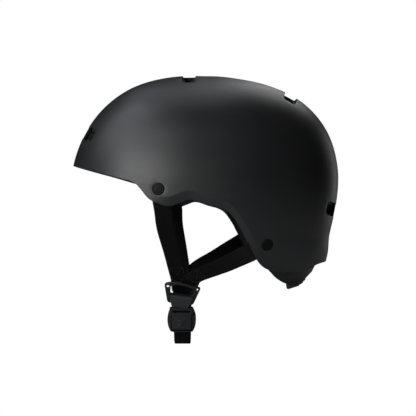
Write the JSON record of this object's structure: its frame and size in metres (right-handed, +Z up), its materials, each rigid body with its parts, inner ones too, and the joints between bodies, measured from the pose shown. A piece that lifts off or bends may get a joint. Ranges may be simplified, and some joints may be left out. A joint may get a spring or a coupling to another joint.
{
  "type": "water sports helmet",
  "caption": "Open-ear water sports helmet with a hard shell, padded liner, neck cradle, strap dividers and a magnetic chin buckle.",
  "frame": {"origin": "centre of the head opening, level with the top of the ear cut-outs", "axes": "-X forward, +Z up, -Y is the wearer's left"},
  "size_m": [0.2855, 0.2178, 0.2942],
  "materials": {
    "shell": "satin",
    "liner": "matte foam",
    "pad": "woven",
    "cradle_plastic": "satin",
    "cap": "matte",
    "steel": "satin",
    "buckle_plastic": "satin",
    "webbing": "woven"
  },
  "bodies": {
    "helmet": {"outer_shell": "shell", "impact_liner": "liner", "brow_pad": "pad", "crown_pad": "pad", "side_pad_left": "pad", "side_pad_right": "pad", "rear_pad": "pad", "neck_cradle": "cradle_plastic", "neck_pad": "pad", "strap_caps": "cap", "strap_screws": "steel", "strap_washers": "steel", "front_strap_end_left": "webbing", "front_strap_end_right": "webbing", "rear_strap_end_left": "webbing", "rear_strap_end_right": "webbing"},
    "left_harness": {"front_strap_left": "webbing", "rear_strap_left": "webbing", "divider_left": "buckle_plastic", "lever_pin_left": "steel", "buckle_strap": "webbing", "buckle_tongue": "buckle_plastic", "tongue_magnet": "steel"},
    "right_harness": {"front_strap_right": "webbing", "rear_strap_right": "webbing", "divider_right": "buckle_plastic", "lever_pin_right": "steel", "chin_strap": "webbing", "buckle_base": "buckle_plastic", "base_magnet": "steel"},
    "left_lever": {"cam_lever_left": "buckle_plastic"},
    "right_lever": {"cam_lever_right": "buckle_plastic"}
  },
  "joints": [
    {"name": "left_harness_swing", "type": "hinge", "parent": "helmet", "child": "left_harness", "pos_m": [-0.042, -0.0982, 0], "axis": [-0.8915, -0.1084, 0.4399], "range_deg": [0, 45]},
    {"name": "right_harness_swing", "type": "hinge", "parent": "helmet", "child": "right_harness", "pos_m": [-0.042, 0.0982, 0], "axis": [0.8915, -0.1084, -0.4399], "range_deg": [0, 45]},
    {"name": "left_lever_flip", "type": "hinge", "parent": "left_harness", "child": "left_lever", "pos_m": [-0.02798, -0.03856, -0.09283], "axis": [-0.9903, -0.0588, 0.1261], "range_deg": [0, 95]},
    {"name": "right_lever_flip", "type": "hinge", "parent": "right_harness", "child": "right_lever", "pos_m": [-0.02798, 0.03856, -0.09283], "axis": [0.9903, -0.0588, -0.1261], "range_deg": [0, 95]}
  ]
}
